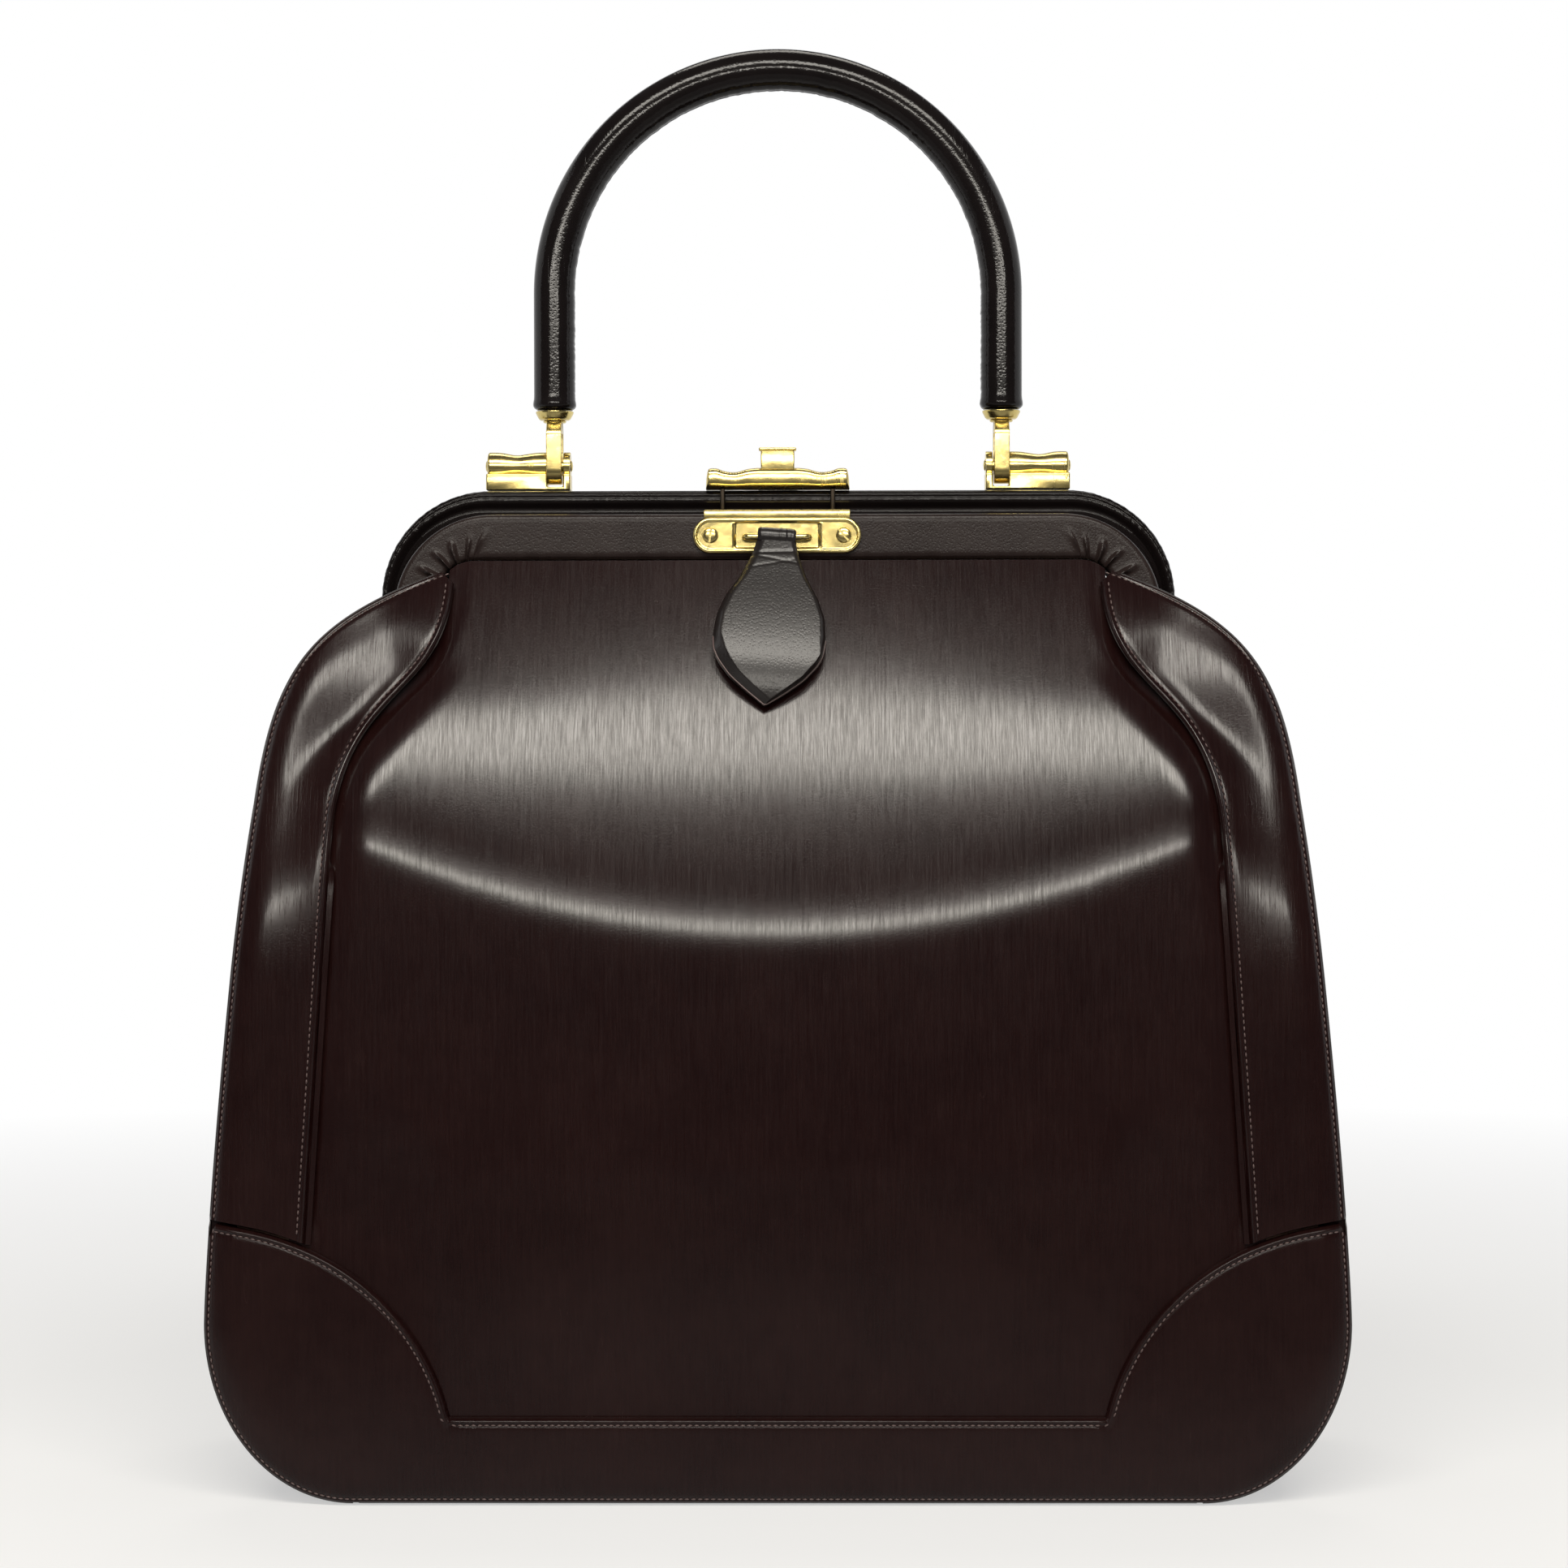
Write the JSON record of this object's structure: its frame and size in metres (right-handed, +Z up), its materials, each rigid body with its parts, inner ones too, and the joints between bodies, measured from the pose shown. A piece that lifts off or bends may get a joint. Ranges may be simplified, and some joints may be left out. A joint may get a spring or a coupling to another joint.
{
  "type": "frame handbag",
  "caption": "Structured leather handbag with a hinged two-part top frame, a clasp, a pull tab and one stiff arched top handle.",
  "frame": {"origin": "middle of the base, on the surface that the bag stands on", "axes": "+Z up; -Y towards the front, where the pull tab is; +X to the right as seen from the front"},
  "size_m": [0.2798, 0.1028, 0.365],
  "materials": {
    "body_leather": "satin, brushed",
    "frame_leather": "satin",
    "handle_leather": "glossy",
    "lining_fabric": "matt",
    "base_board": "matt",
    "frame_metal": "satin",
    "gold": "polished"
  },
  "bodies": {
    "bag": {"back_bottom_band": "body_leather", "back_center_panel": "body_leather", "back_frame_core": "frame_metal", "back_frame_leather": "frame_leather", "back_lining": "lining_fabric", "back_side_strip_left": "body_leather", "back_side_strip_right": "body_leather", "base_board": "base_board", "base_panel": "body_leather", "bracket_left": "gold", "bracket_pin_left": "gold", "bracket_pin_right": "gold", "bracket_right": "gold", "clasp_hinge_base": "gold", "clasp_hinge_pin": "gold", "front_bottom_band": "body_leather", "front_center_panel": "body_leather", "front_lining": "lining_fabric", "front_side_strip_left": "body_leather", "front_side_strip_right": "body_leather", "gusset_left": "body_leather", "gusset_lining_left": "lining_fabric", "gusset_lining_right": "lining_fabric", "gusset_right": "body_leather", "hinge_pin_left": "frame_metal", "hinge_pin_right": "frame_metal"},
    "front_frame": {"front_frame_core": "frame_metal", "front_frame_leather": "frame_leather", "catch_plate": "gold", "plate_screw_left": "gold", "plate_screw_right": "gold", "tab_bar": "gold"},
    "pull_tab": {"pull_tab": "handle_leather"},
    "clasp": {"clasp_lever": "gold"},
    "handle": {"handle_core": "frame_metal", "handle_leather": "handle_leather", "ferrule_left": "gold", "ferrule_right": "gold", "handle_lug_left": "gold", "handle_lug_right": "gold"}
  },
  "joints": [
    {"name": "front_frame_hinge", "type": "hinge", "parent": "bag", "child": "front_frame", "pos_m": [0, 0, 0.186], "axis": [1, 0, 0], "range_deg": [0, 45], "deforming": ["front_center_panel", "front_side_strip_left", "front_side_strip_right", "front_lining"]},
    {"name": "handle_pivot", "type": "hinge", "parent": "bag", "child": "handle", "pos_m": [0, 0.00775, 0.2577], "axis": [1, 0, 0], "range_deg": [-100, 100]},
    {"name": "clasp_hinge", "type": "hinge", "parent": "bag", "child": "clasp", "pos_m": [0, 0.012, 0.2533], "axis": [-1, 0, 0], "range_deg": [0, 60]},
    {"name": "pull_tab_hinge", "type": "hinge", "parent": "front_frame", "child": "pull_tab", "pos_m": [0, -0.019, 0.238], "axis": [-1, 0, 0], "range_deg": [0, 130]}
  ]
}
